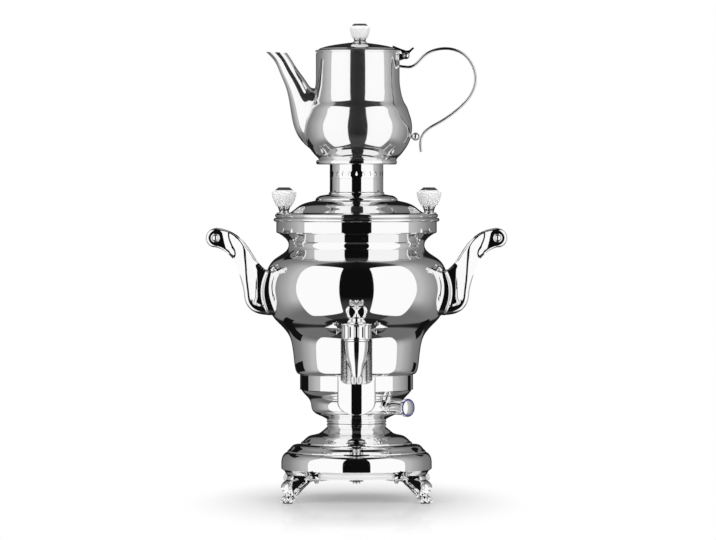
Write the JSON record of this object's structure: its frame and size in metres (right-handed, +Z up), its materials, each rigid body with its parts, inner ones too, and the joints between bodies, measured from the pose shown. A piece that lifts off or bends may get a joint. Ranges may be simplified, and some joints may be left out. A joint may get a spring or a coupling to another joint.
{
  "type": "samovar",
  "caption": "Electric table samovar of polished steel with a front tap, paw feet, side handles, and a lift-off lid whose chimney collar carries a long-spouted teapot.",
  "frame": {"origin": "on the upright axis of the vessel, at the level of the surface it stands on", "axes": "+Z up; the tap points towards -Y; +X is to the right of someone facing the tap"},
  "size_m": [0.3268, 0.2287, 0.5179],
  "materials": {
    "polished_steel": "mirror polished",
    "plain_steel": "as rolled",
    "fastener_steel": "plated",
    "heater_aluminium": "cast",
    "brass": "turned",
    "cut_glass": "faceted and polished",
    "pad_rubber": "matt",
    "black_plastic": "moulded",
    "blue_plastic": "clear blue",
    "white_ceramic": "plain",
    "lead_insulation": "braided sleeve"
  },
  "bodies": {
    "samovar": {"leg_front_left": "polished_steel", "leg_front_right": "polished_steel", "leg_rear_left": "polished_steel", "leg_rear_right": "polished_steel", "foot_pads": "pad_rubber", "leg_screws": "fastener_steel", "base_plate": "plain_steel", "base_cover": "polished_steel", "tie_rod": "fastener_steel", "tie_nuts": "fastener_steel", "pedestal_ring": "polished_steel", "lower_housing": "polished_steel", "water_vessel": "polished_steel", "vessel_belly": "polished_steel", "vessel_neck": "polished_steel", "rim_ring": "polished_steel", "heater_plate": "heater_aluminium", "heater_tube": "plain_steel", "thermostat": "white_ceramic", "thermal_cutout": "black_plastic", "internal_leads": "lead_insulation", "appliance_inlet": "black_plastic", "inlet_pins": "brass", "tap_escutcheon": "polished_steel", "tap_body": "polished_steel", "tap_hood": "polished_steel", "tap_nozzle": "polished_steel", "tap_gasket": "pad_rubber", "tap_nut": "brass", "knob_boss": "polished_steel", "handle_plate_left": "polished_steel", "handle_plate_right": "polished_steel", "handle_arms_left": "polished_steel", "handle_arms_right": "polished_steel", "handle_grip_left": "polished_steel", "handle_grip_right": "polished_steel", "handle_cap_nuts": "polished_steel", "handle_bolts": "fastener_steel", "handle_nuts": "fastener_steel"},
    "tap_plug_and_key": {"tap_plug": "brass", "tap_key": "polished_steel"},
    "temperature_knob": {"control_knob": "polished_steel", "knob_ring": "blue_plastic", "knob_spindle": "fastener_steel"},
    "vessel_lid": {"lid_dome": "polished_steel", "lid_collar": "polished_steel", "pot_stand": "polished_steel", "lid_knob_mounts": "polished_steel", "lid_knobs": "cut_glass"},
    "pot": {"teapot_body": "polished_steel", "teapot_spout": "polished_steel", "teapot_handle": "polished_steel", "handle_spacer": "polished_steel", "hinge_bracket": "polished_steel"},
    "pot_lid": {"teapot_lid": "polished_steel", "thumb_lever": "polished_steel", "hinge_pin": "fastener_steel", "pot_knob_mount": "polished_steel", "pot_knob": "cut_glass"}
  },
  "joints": [
    {"name": "tap_turn", "type": "hinge", "parent": "samovar", "child": "tap_plug_and_key", "pos_m": [0, -0.112, 0.186], "axis": [0, 0, 1], "range_deg": [0, 90]},
    {"name": "knob_turn", "type": "hinge", "parent": "samovar", "child": "temperature_knob", "pos_m": [0, 0, 0.102], "axis": [-0.7071, 0.7071, 0], "range_deg": [0, 270]},
    {"name": "lid_lift", "type": "slide", "parent": "samovar", "child": "vessel_lid", "axis": [0, 0, 1], "range_m": [0, 0.06]},
    {"name": "pot_lift", "type": "slide", "parent": "vessel_lid", "child": "pot", "axis": [0, 0, 1], "range_m": [0, 0.05]},
    {"name": "pot_lid_hinge", "type": "hinge", "parent": "pot", "child": "pot_lid", "pos_m": [0.054, 0, 0.4829], "axis": [0, 1, 0], "range_deg": [0, 72]}
  ]
}
